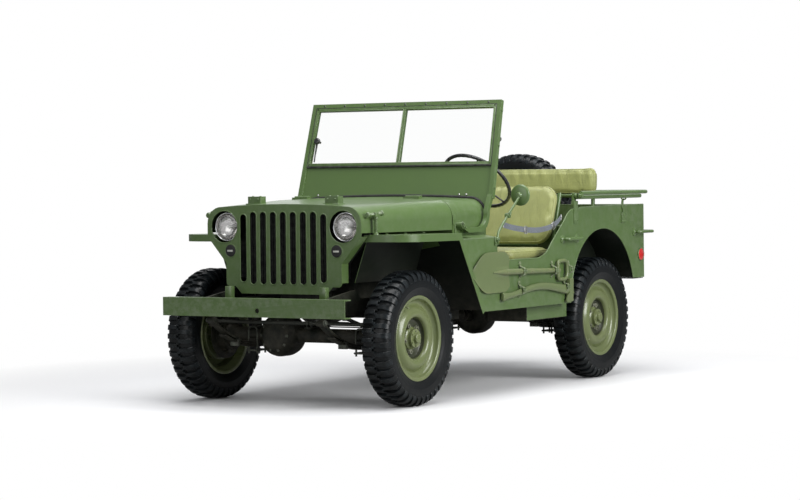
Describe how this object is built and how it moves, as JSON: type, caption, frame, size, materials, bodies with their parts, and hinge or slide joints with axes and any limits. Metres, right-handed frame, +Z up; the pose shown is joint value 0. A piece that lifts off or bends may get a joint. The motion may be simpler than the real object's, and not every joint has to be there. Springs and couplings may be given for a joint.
{
  "type": "quarter-ton four-wheel-drive open army car",
  "caption": "Open army utility car with a slotted grille, fold-down windshield, lifting hood, steering front wheels, stowed top bows, seats, tools and a rear spare wheel.",
  "frame": {"origin": "on the ground, under the middle of the car", "axes": "-Y to the front of the car, +X to its left (the driver's side), +Z up"},
  "size_m": [1.574, 3.2558, 1.6025],
  "materials": {
    "olive_paint": "satin olive green enamel",
    "dark_paint": "dull dark olive paint, shaded and dusty",
    "radiator_black": "matt black",
    "lamp_chrome": "polished",
    "canvas": "coated khaki canvas with a soft sheen",
    "tyre_rubber": "matt rubber",
    "webbing": "woven cotton",
    "black_enamel": "gloss black",
    "window_glass": "clear",
    "lens_red": "ribbed red lens",
    "tool_wood": "olive painted ash"
  },
  "bodies": {
    "chassis": {"frame": "dark_paint", "front_bumper": "olive_paint", "floor": "olive_paint", "cowl": "olive_paint", "dashboard": "olive_paint", "body_side_left": "olive_paint", "body_side_right": "olive_paint", "rear_panel": "olive_paint", "wheel_houses": "olive_paint", "front_fenders": "olive_paint", "grille": "olive_paint", "radiator": "radiator_black", "lamps": "lamp_chrome", "engine": "dark_paint", "transmission": "dark_paint", "front_axle": "dark_paint", "rear_axle": "dark_paint", "suspension": "dark_paint", "propeller_shafts": "dark_paint", "exhaust": "dark_paint", "fuel_tank": "olive_paint", "seat_frames": "olive_paint", "front_seat_cushions": "canvas", "front_seat_backs": "canvas", "rear_seat_cushion": "canvas", "rear_seat_back": "canvas", "spare_rim": "olive_paint", "spare_tyre": "tyre_rubber", "spare_carrier": "olive_paint", "rear_bumperettes": "olive_paint", "tow_hook": "dark_paint", "pioneer_tools": "olive_paint", "grab_handles": "olive_paint", "door_straps": "webbing", "driver_mirror": "olive_paint", "steering_column": "olive_paint", "control_levers": "black_enamel", "hood_latches": "olive_paint"},
    "hood": {"hood": "olive_paint"},
    "windshield": {"windshield_frame": "olive_paint", "windshield_glass": "window_glass"},
    "front_bow": {"front_bow": "olive_paint"},
    "rear_bow": {"rear_bow": "olive_paint"},
    "steering_wheel": {"steering_wheel": "black_enamel"},
    "knuckle_left": {"knuckle_left": "dark_paint"},
    "knuckle_right": {"knuckle_right": "dark_paint"},
    "bell_crank": {"bell_crank": "dark_paint"},
    "tie_rod_left": {"tie_rod_left": "olive_paint"},
    "tie_rod_right": {"tie_rod_right": "olive_paint"},
    "pitman_arm": {"pitman_arm": "dark_paint"},
    "drag_link": {"drag_link": "olive_paint"},
    "wheel_front_left": {"rim_front_left": "olive_paint", "tyre_front_left": "tyre_rubber"},
    "wheel_front_right": {"rim_front_right": "olive_paint", "tyre_front_right": "tyre_rubber"},
    "wheel_rear_left": {"rim_rear_left": "olive_paint", "tyre_rear_left": "tyre_rubber"},
    "wheel_rear_right": {"rim_rear_right": "olive_paint", "tyre_rear_right": "tyre_rubber"}
  },
  "joints": [
    {"name": "steering", "type": "hinge", "parent": "chassis", "child": "knuckle_left", "pos_m": [0.517, -1.098, 0.351], "axis": [0, 0, 1], "range_deg": [-26, 26]},
    {"name": "knuckle_right_turn", "type": "hinge", "parent": "chassis", "child": "knuckle_right", "pos_m": [-0.517, -1.098, 0.351], "axis": [0, 0, 1], "range_deg": [-26, 26]},
    {"name": "steering_wheel_turn", "type": "hinge", "parent": "chassis", "child": "steering_wheel", "pos_m": [0.384, 0.015, 1.156], "axis": [0.0941, 0.706, 0.702], "range_deg": [-364, 364]},
    {"name": "bell_crank_turn", "type": "hinge", "parent": "chassis", "child": "bell_crank", "pos_m": [0.1, -1.098, 0.4], "axis": [0, 0, 1], "range_deg": [-26, 26]},
    {"name": "tie_rod_left_turn", "type": "hinge", "parent": "bell_crank", "child": "tie_rod_left", "pos_m": [0.113, -1.248, 0.425], "axis": [0, 0, 1], "range_deg": [-26, 26]},
    {"name": "tie_rod_right_turn", "type": "hinge", "parent": "bell_crank", "child": "tie_rod_right", "pos_m": [0.087, -1.248, 0.425], "axis": [0, 0, 1], "range_deg": [-26, 26]},
    {"name": "pitman_arm_swing", "type": "hinge", "parent": "chassis", "child": "pitman_arm", "pos_m": [0.241, -0.69, 0.455], "axis": [1, 0, 0], "range_deg": [-26, 26]},
    {"name": "drag_link_swing", "type": "hinge", "parent": "pitman_arm", "child": "drag_link", "pos_m": [0.226, -0.69, 0.325], "axis": [1, 0, 0], "range_deg": [-26, 26]},
    {"name": "wheel_front_left_roll", "type": "hinge", "parent": "knuckle_left", "child": "wheel_front_left", "pos_m": [0.6125, -1.098, 0.351], "axis": [1, 0, 0], "continuous": true},
    {"name": "wheel_front_right_roll", "type": "hinge", "parent": "knuckle_right", "child": "wheel_front_right", "pos_m": [-0.6125, -1.098, 0.351], "axis": [1, 0, 0], "continuous": true},
    {"name": "wheel_rear_left_roll", "type": "hinge", "parent": "chassis", "child": "wheel_rear_left", "pos_m": [0.6125, 0.934, 0.351], "axis": [1, 0, 0], "continuous": true},
    {"name": "wheel_rear_right_roll", "type": "hinge", "parent": "chassis", "child": "wheel_rear_right", "pos_m": [-0.6125, 0.934, 0.351], "axis": [1, 0, 0], "continuous": true},
    {"name": "windshield_fold", "type": "hinge", "parent": "chassis", "child": "windshield", "pos_m": [0, -0.572, 0.922], "axis": [1, 0, 0], "range_deg": [0, 114]},
    {"name": "hood_lift", "type": "hinge", "parent": "chassis", "child": "hood", "pos_m": [0, -0.621, 1.077], "axis": [1, 0, 0], "range_deg": [-120, 0]},
    {"name": "front_bow_swing", "type": "hinge", "parent": "chassis", "child": "front_bow", "pos_m": [0, 0.548, 1.064], "axis": [1, 0, 0], "range_deg": [0, 95]},
    {"name": "rear_bow_swing", "type": "hinge", "parent": "chassis", "child": "rear_bow", "pos_m": [0, 0.548, 1.064], "axis": [1, 0, 0], "range_deg": [0, 55]}
  ],
  "couplings": [
    {"joint": "knuckle_right_turn", "follows": "steering", "ratio": 1},
    {"joint": "steering_wheel_turn", "follows": "steering", "ratio": 14},
    {"joint": "bell_crank_turn", "follows": "steering", "ratio": 1},
    {"joint": "tie_rod_left_turn", "follows": "steering", "ratio": -1},
    {"joint": "tie_rod_right_turn", "follows": "steering", "ratio": -1},
    {"joint": "pitman_arm_swing", "follows": "steering", "ratio": 1},
    {"joint": "drag_link_swing", "follows": "steering", "ratio": -1}
  ]
}
